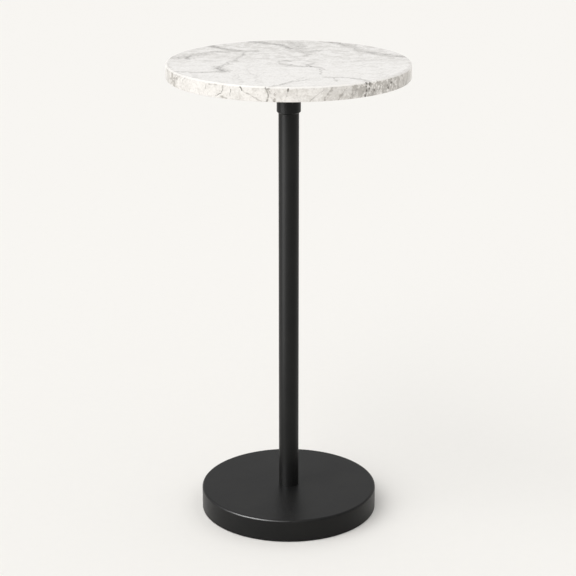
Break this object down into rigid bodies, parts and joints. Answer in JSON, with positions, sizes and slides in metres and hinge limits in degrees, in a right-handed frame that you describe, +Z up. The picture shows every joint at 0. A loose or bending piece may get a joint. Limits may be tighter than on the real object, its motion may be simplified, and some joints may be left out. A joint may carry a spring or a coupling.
{
  "type": "wine table",
  "caption": "Small round pedestal table: a polished marble disc on a slim black steel column with a collar at its head, standing on a low weighted round base.",
  "frame": {"origin": "on the floor, under the centre of the base", "axes": "+Z up along the column; +X to the right and +Y away from the viewer in the picture"},
  "size_m": [0.305, 0.305, 0.6],
  "materials": {
    "marble": "polished, grey veins",
    "black_powder_coat": "satin powder coat",
    "black_oxide_steel": "blackened",
    "zinc_steel": "zinc plated",
    "cast_iron": "as cast",
    "brass": "turned",
    "foam": "closed cell sheet",
    "felt": "pressed felt"
  },
  "bodies": {
    "root": {"marble_top": "marble", "stone_inserts": "brass", "stone_gasket": "foam", "mounting_plate": "black_powder_coat", "plate_screws": "black_oxide_steel", "plate_washers": "zinc_steel", "column_collar": "black_powder_coat", "top_stud": "zinc_steel", "column_tube": "black_powder_coat", "upper_plug": "zinc_steel", "lower_plug": "zinc_steel", "base_cover": "black_powder_coat", "base_weight": "cast_iron", "flat_washer": "zinc_steel", "spring_washer": "zinc_steel", "base_bolt": "zinc_steel", "bottom_plate": "black_powder_coat", "bottom_screws": "zinc_steel", "floor_pads": "felt"}
  },
  "joints": []
}
